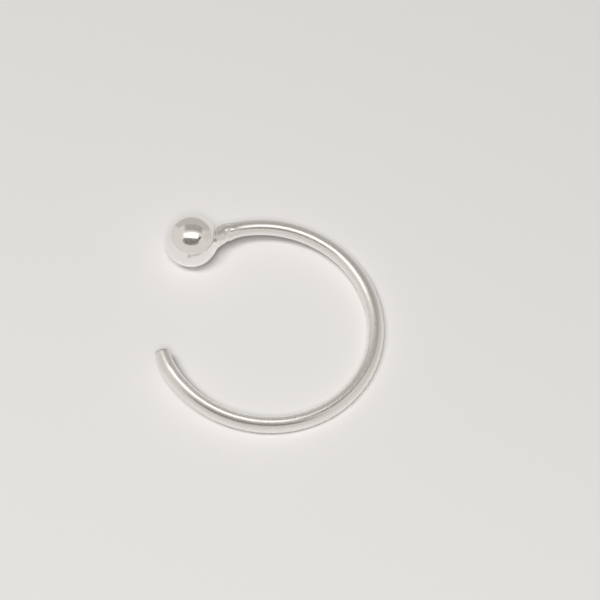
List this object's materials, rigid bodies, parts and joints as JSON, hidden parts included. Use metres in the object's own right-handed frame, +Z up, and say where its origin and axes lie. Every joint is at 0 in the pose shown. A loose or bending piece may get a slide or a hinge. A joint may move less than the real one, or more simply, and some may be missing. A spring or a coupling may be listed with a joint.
{
  "type": "hoop earring",
  "caption": "Open hoop of round wire with a solid ball soldered to one end and the other end cut flat and filed thinner to pass through an ear.",
  "frame": {"origin": "on the surface that the earring lies on, under the middle of its bounding box", "axes": "+Z up from the surface; the hoop lies nearly flat, its mouth towards -X, the ball at the mouth's +Y side and the cut end at its -Y side"},
  "size_m": [0.0168, 0.0176, 0.004],
  "materials": {
    "polished_silver": "polished silver with faint drawing lines along the wire and fine handling scratches"
  },
  "bodies": {
    "root": {"ball_hoop": "polished_silver"}
  },
  "joints": []
}
